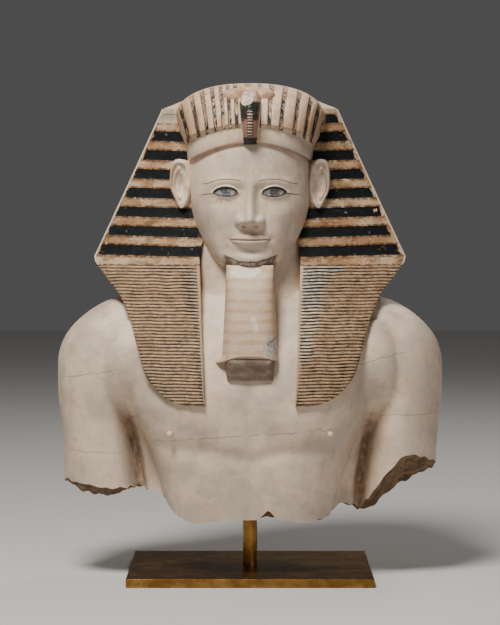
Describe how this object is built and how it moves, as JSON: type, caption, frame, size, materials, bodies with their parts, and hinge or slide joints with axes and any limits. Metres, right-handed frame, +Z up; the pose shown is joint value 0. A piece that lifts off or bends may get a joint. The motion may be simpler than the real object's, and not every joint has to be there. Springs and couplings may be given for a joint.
{
  "type": "pharaoh bust",
  "caption": "Life-size carved stone bust of a king in a striped, pleated headcloth with false beard and broken cobra, broken off below the chest and held up by a round brass rod on a low plate",
  "frame": {"origin": "on the floor, under the middle of the whole object's box", "axes": "+Z up, the face looks along -Y, +X is to the right of someone who stands in front of it"},
  "size_m": [0.511, 0.2662, 0.6523],
  "materials": {
    "painted_stone": "worn pale limestone, matt, with brown and dark remains of paint on the headcloth",
    "rod_brass": "darkened drawn brass",
    "plate_brass": "darkened brass, fine brushed"
  },
  "bodies": {
    "root": {"bust": "painted_stone", "rod": "rod_brass", "foot_plate": "plate_brass"}
  },
  "joints": []
}
